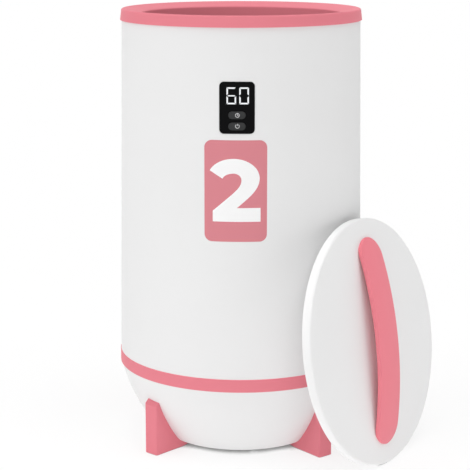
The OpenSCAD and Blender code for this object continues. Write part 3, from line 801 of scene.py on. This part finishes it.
@dataclass
class FrontLabel:
    """The pink label on the drum, with a plain numeral and no words.

    The numeral's box starts numeral_inset, in millimetres, right and down from the label's
    upper left corner. Its places are shares of its width, right and down from there. Its crown
    and its hook are elliptical arcs: half width, half height, first and last angle in degrees,
    and number of chords.
    """

    left: float = -37.0
    right: float = 34.0
    low: float = 272.7
    high: float = 388.9
    corner: float = 8.5
    film_out: float = 0.12
    film_t: float = 0.1
    print_out: float = 0.16
    print_t: float = 0.03
    numeral_share: float = 0.821
    numeral_inset: Point = (6.0, 21.0)
    crown_centre: Point = (0.466, 0.382)
    crown: tuple[float, ...] = (0.505, 0.382, 157, 1, 26)
    belly: tuple[Point, ...] = ((0.971, 0.382), (0.971, 0.60), (0.79, 0.745), (0.53, 0.965))
    foot: tuple[Point, ...] = ((0.99, 0.965), (0.99, 1.237), (0.06, 1.237), (0.06, 1.024))
    neck: tuple[Point, ...] = ((0.443, 0.693), (0.54, 0.60), (0.62, 0.53), (0.62, 0.418))
    hook_centre: Point = (0.466, 0.418)
    hook_right: tuple[float, ...] = (0.154, 0.130, 12, 84, 6)
    hook_left: tuple[float, ...] = (0.22, 0.130, 96, 168, 6)

    def numeral(self) -> Loop:
        """Outline of a heavy numeral two, from arcs, curves and straight lines.

        Returns:
            The points in order.
        """
        unit = self.numeral_share * (self.right - self.left)
        x0, z0 = self.left + self.numeral_inset[0], self.high - self.numeral_inset[1]

        def at(place: Point) -> Point:
            """Brings a place of the numeral to the drum's millimetres."""
            return x0 + place[0] * unit, z0 - place[1] * unit

        def bow(centre: Point, sweep: tuple[float, ...]) -> Loop:
            """Brings an arc of the numeral to the drum's millimetres."""
            half_w, half_h, start, end, steps = sweep
            return arc(*at(centre), half_w * unit, half_h * unit, start, end, int(steps))

        return (bow(self.crown_centre, self.crown) + bezier(*map(at, self.belly))
                + [at(place) for place in self.foot] + bezier(*map(at, self.neck))
                + bow(self.hook_centre, self.hook_right)
                + bow(self.hook_centre, self.hook_left))

    def build(self) -> None:
        """Builds the film and its print."""
        wall = DrumFace()
        edge = rounded_box(self.left, self.low, self.right, self.high, self.corner)
        film = wall.print_mesh("label_film", [[edge]], self.film_out, self.film_t)
        place_piece("label_film", film, LABEL_FILM, "bucket")
        digit = wall.print_mesh("label_numeral", [[self.numeral()]], self.print_out,
                                self.print_t)
        place_piece("label_numeral", digit, LABEL_WHITE, "bucket")


class Segment(Enum):
    """The seven bars of a digit: place from its centre, in half digits, and turn in degrees."""

    TOP = (0.0, 1.0, 0)
    MIDDLE = (0.0, 0.0, 0)
    LOW = (0.0, -1.0, 180)
    UPPER_LEFT = (-1.0, 0.5, 90)
    LOWER_LEFT = (-1.0, -0.5, 90)
    UPPER_RIGHT = (1.0, 0.5, -90)
    LOWER_RIGHT = (1.0, -0.5, -90)


SIX = (Segment.TOP, Segment.MIDDLE, Segment.LOW, Segment.UPPER_LEFT, Segment.LOWER_LEFT,
       Segment.LOWER_RIGHT)
ZERO = (Segment.TOP, Segment.LOW, Segment.UPPER_LEFT, Segment.LOWER_LEFT, Segment.UPPER_RIGHT,
        Segment.LOWER_RIGHT)


@dataclass
class ControlPanel(SubAssembly):
    """Display panel with its board: lit digits and the print on its two keys.

    Lengths are in millimetres. mitre is a share of half a bar's width. The power stroke is its
    start above its ring's centre and its length. A hand of the clock is its length and its
    turn in degrees, to the left of upright.
    """

    solids: tuple[Dressed, ...] = (
        Dressed(PANEL_LENS, ("display_panel",)),
        Dressed(KEY_GREY, ("timer_button", "power_button"), edge_mm=0.25),
        Dressed(DISPLAY_BODY, ("display_module",)),
        Dressed(SENSOR_BODY, ("key_switches",)),
        Dressed(BOARD_GREEN, ("control_board",)),
        Dressed(INNER_PLASTIC, ("panel_holder",)),
    )
    digit_w: float = 9.1
    digit_h: float = 17.3
    digit_z: float = 439.1
    six_x: float = -6.35
    zero_x: float = 7.95
    bar: float = 1.65
    bar_gap: float = 0.5
    mitre: float = 0.8
    middle_cut: float = 0.2
    digit_out: float = 0.56
    digit_t: float = 0.04
    digit_slice: float = 3.0
    icon_x: float = 0.5
    timer_z: float = 417.2
    power_z: float = 404.9
    icon_r: float = 2.5
    icon_line: float = 0.62
    icon_steps: int = 40
    icon_out: float = 0.96
    icon_t: float = 0.03
    icon_slice: float = 1.5
    power_gap_deg: float = 70.0
    power_stroke: Point = (0.5, 2.3)
    clock_hands: tuple[Point, ...] = ((1.7, 0.0), (1.5, -125.0))

    def bar_outline(self, segment: Segment, x: float) -> Loop:
        """Outline of one bar, mitred where it meets its neighbours.

        Args:
            segment: Which bar.
            x: Centre of the digit.

        Returns:
            The outline.
        """
        right, up, turn = segment.value
        upright = abs(turn) == 90
        length = (self.digit_h / 2 if upright else self.digit_w) - self.bar_gap
        half, b = length / 2, self.bar / 2
        m = b * self.mitre
        centre = (x + right * self.digit_w / 2, self.digit_z + up * self.digit_h / 2)
        if segment is Segment.MIDDLE:
            flat = [(-half, 0), (-half + m, m), (half - m, m), (half, 0), (half - m, -m),
                    (-half + m, -m)]
        else:
            # the outer side is longer than the inner side, and stops short of the middle bar
            start = end = half + m
            if upright and (up > 0) == (right < 0):
                start = half - self.middle_cut
            elif upright:
                end = half - self.middle_cut
            flat = [(-start, b), (end, b), (end - m - b, -b), (-start + m + b, -b)]
        return turned([(centre[0] + px, centre[1] + pz) for px, pz in flat], centre, turn)

    def ring(self, z: float, gap_deg: float = 0.0) -> list[Loop]:
        """A ring, closed or with a gap at its top.

        Args:
            z: Height of its centre.
            gap_deg: Width of the gap.

        Returns:
            Its outlines: two for a closed ring, else one round its band.
        """
        inner_r = self.icon_r - self.icon_line
        start, end = 90 + gap_deg / 2, 450 - gap_deg / 2
        outer = arc(self.icon_x, z, self.icon_r, self.icon_r, start, end, self.icon_steps)
        inner = arc(self.icon_x, z, inner_r, inner_r, end, start, self.icon_steps)
        return [outer + inner] if gap_deg else [outer[1:], inner[1:]]

    def stroke(self, z: float, length: float, degrees: float = 0.0) -> Loop:
        """A thin stroke from a point on the icons' upright line.

        Args:
            z: Height of the point.
            length: How long it is.
            degrees: Its turn to the left of upright.

        Returns:
            The outline.
        """
        x, w = self.icon_x, self.icon_line / 2
        flat = [(x - w, z), (x - w, z + length), (x + w, z + length), (x + w, z)]
        return turned(flat, (x, z), degrees)

    def digits(self) -> None:
        """Builds the two lit digits."""
        wall = DrumFace()
        for name, x, bars in (("digit_six", self.six_x, SIX), ("digit_zero", self.zero_x, ZERO)):
            mesh = wall.print_mesh(name, [[self.bar_outline(s, x)] for s in bars],
                                   self.digit_out, self.digit_t, self.digit_slice)
            place_piece(name, mesh, DISPLAY_LIGHT, "bucket")

    def icons(self) -> None:
        """Builds the print on the two keys, which moves with them."""
        wall = DrumFace()
        start, length = self.power_stroke
        power = [self.ring(self.power_z, self.power_gap_deg),
                 [self.stroke(self.power_z + start, length)]]
        clock = [self.ring(self.timer_z)]
        clock += [[self.stroke(self.timer_z, *hand)] for hand in self.clock_hands]
        for name, shapes, body in (("power_icon", power, "power_key"),
                                   ("timer_icon", clock, "timer_key")):
            mesh = wall.print_mesh(name, shapes, self.icon_out, self.icon_t, self.icon_slice)
            place_piece(name, mesh, ICON_PRINT, body)

    def build(self) -> None:
        """Dresses the solids and builds the digits and the icons."""
        super().build()
        self.digits()
        self.icons()


@dataclass
class HeatedDrum(SubAssembly):
    """The outer shell with its rim, and the bucket, heater and insulation inside it."""

    solids: tuple[Dressed, ...] = (
        Dressed(WHITE_SHELL, ("outer_drum",)),
        Dressed(PINK_TRIM, ("top_rim", "accent_band")),
        Dressed(LINER_SHEET, ("inner_bucket",)),
        Dressed(SILICONE, ("bucket_seal",)),
        Dressed(INNER_PLASTIC, ("bucket_support",)),
        Dressed(HEATER_FOIL, ("heater_film",)),
        Dressed(FELT, ("insulation_sleeve",)),
        Dressed(SENSOR_STEEL, ("thermostat", "thermal_fuse")),
        Dressed(SENSOR_BODY, ("temperature_sensor",)),
    )


@dataclass
class FootedBase(SubAssembly):
    """The bowl on its four fin feet, with the power board, the leads and the fasteners."""

    solids: tuple[Dressed, ...] = (
        Dressed(WHITE_SHELL, ("base_bowl",)),
        Dressed(PINK_TRIM, ("foot_front_left", "foot_front_right", "foot_rear_left",
                            "foot_rear_right"), edge_mm=1.2),
        Dressed(RUBBER, ("foot_pads", "cord_gland")),
        Dressed(BOARD_GREEN, ("power_board",)),
        Dressed(LEAD_SLEEVE, ("panel_lead", "heater_lead")),
        Dressed(SCREW_STEEL, ("foot_screws", "base_screws", "board_screws")),
    )


@dataclass
class LooseLid(SubAssembly):
    """The lid with its plug, seal and strap."""

    solids: tuple[Dressed, ...] = (
        # the lid's white is lighter than the shell's white: painted light
        Dressed(WHITE_LID_PAINTED_LIGHT, ("lid_disc", "lid_liner")),
        # the strap's pink is lighter than the trim's pink: painted light
        Dressed(PINK_STRAP_PAINTED_LIGHT, ("lid_handle",), edge_mm=0.8),
        Dressed(SILICONE, ("lid_seal",)),
        Dressed(FOAM, ("lid_foam",)),
        Dressed(SCREW_STEEL, ("lid_screws", "handle_screws")),
    )


@dataclass(frozen=True)
class SoftLight:
    """A wide, far light, as even over the floor as over the part."""

    name: str
    turn_deg: float
    rise_deg: float
    strength: float
    width_deg: float = 40.0
    glossy: bool = True

    def set_up(self) -> None:
        """Makes the light, which comes from turn_deg to the right of the front."""
        data = bpy.data.lights.new(self.name, "SUN")
        data.energy = self.strength
        data.angle = math.radians(self.width_deg)
        light = bpy.data.objects.new(self.name, data)
        turn, rise = math.radians(self.turn_deg), math.radians(self.rise_deg)
        way = Vector((-math.sin(turn) * math.cos(rise), math.cos(turn) * math.cos(rise),
                      -math.sin(rise)))
        light.rotation_euler = way.to_track_quat("-Z", "Y").to_euler()
        light.visible_glossy = self.glossy
        bpy.context.scene.collection.objects.link(light)
        LOG.info("light: %s", self.name)


@dataclass(frozen=True)
class FloorLook:
    """How the floor answers one kind of ray: part lit surface, part steady glow.

    The glow fades in gaps under the object as a painted contact shadow. Ambient occlusion
    within reach_mm finds them: it is shut_at or less in a closed gap, and open_at or more on the
    open floor.
    """

    lit: float
    glow: float
    reach_mm: float = 26.0
    shut_at: float = 0.05
    open_at: float = 0.17
    painted_shadow_share: float = 0.1

    def shader(self, make: Wiring) -> bpy.types.NodeSocket:
        """Adds the shader.

        Args:
            make: Adds and links nodes.

        Returns:
            The shader's output socket.
        """
        lit = make.node("ShaderNodeBsdfDiffuse", Color=(self.lit, self.lit, self.lit))
        gaps = make.node("ShaderNodeAmbientOcclusion", Distance=self.reach_mm * MM)
        # painted contact shadow: the glow is cut down where ambient occlusion finds a gap under
        # the object
        share = make.mapped(gaps.outputs["AO"], self.painted_shadow_share, 1.0, self.shut_at, self.open_at)
        glow = make.node("ShaderNodeEmission", Color=WHITE,
                         Strength=make.maths("MULTIPLY", share, self.glow))
        both = make.node("ShaderNodeAddShader")
        make.link(lit.outputs[0], both.inputs[0])
        make.link(glow.outputs[0], both.inputs[1])
        return both.outputs[0]


@dataclass
class Studio:
    """Plain pale floor, white surroundings and soft light."""

    ambient: float = 0.30
    lights: tuple[SoftLight, ...] = (
        SoftLight("left_light", turn_deg=-70.0, rise_deg=35.0, strength=0.76),
        SoftLight("front_light", turn_deg=0.0, rise_deg=25.0, strength=0.41),
        SoftLight("right_light", turn_deg=60.0, rise_deg=62.0, strength=0.49),
        SoftLight("top_light", turn_deg=0.0, rise_deg=86.0, strength=1.08, glossy=False),
    )
    floor_size: float = 30.0
    floor_bounce: FloorLook = FloorLook(lit=0.6, glow=0.485)
    floor_seen: FloorLook = FloorLook(lit=0.22, glow=0.785)

    def floor(self) -> None:
        """Makes the floor, which shows the object's shadow on white.

        The shadow is partly cast by the lights and partly painted in the gaps under the object.
        """
        mesh = bpy.data.meshes.new("floor")
        s = self.floor_size / 2
        mesh.from_pydata([(-s, -s, 0), (s, -s, 0), (s, s, 0), (-s, s, 0)], [], [(0, 1, 2, 3)])
        made = bpy.data.materials.new("studio_floor")
        made.use_nodes = True
        made.node_tree.nodes.clear()
        make = Wiring(made.node_tree)
        sight = make.node("ShaderNodeLightPath")
        mix = make.node("ShaderNodeMixShader", Fac=sight.outputs["Is Camera Ray"])
        make.link(self.floor_bounce.shader(make), mix.inputs[1])
        make.link(self.floor_seen.shader(make), mix.inputs[2])
        make.node("ShaderNodeOutputMaterial", Surface=mix.outputs[0])
        floor = bpy.data.objects.new("floor", mesh)
        mesh.materials.append(made)
        bpy.context.scene.collection.objects.link(floor)
        LOG.info("stage: floor")

    def world(self) -> None:
        """Makes white surroundings, plain white to the camera and in reflections."""
        world = bpy.data.worlds.new("studio_world")
        world.use_nodes = True
        world.node_tree.nodes.clear()
        make = Wiring(world.node_tree)
        sight = make.node("ShaderNodeLightPath")
        seen = make.maths("MAXIMUM", sight.outputs["Is Camera Ray"],
                          make.maths("MAXIMUM", sight.outputs["Is Glossy Ray"],
                                     sight.outputs["Is Transmission Ray"]))
        back = make.node("ShaderNodeBackground", Color=WHITE,
                         Strength=make.mapped(seen, self.ambient, 1.0))
        make.node("ShaderNodeOutputWorld", Surface=back.outputs[0])
        bpy.context.scene.world = world

    def build(self) -> None:
        """Makes the floor, the surroundings and the lights."""
        bpy.context.scene.view_settings.view_transform = "Standard"
        self.world()
        self.floor()
        for light in self.lights:
            light.set_up()


def main() -> None:
    """Builds everything in order."""
    StudioCamera().set_up()
    for part in (HeatedDrum(), FrontLabel(), ControlPanel(), FootedBase(), LooseLid(),
                 Studio()):
        part.build()


if __name__ == "__main__":
    main()
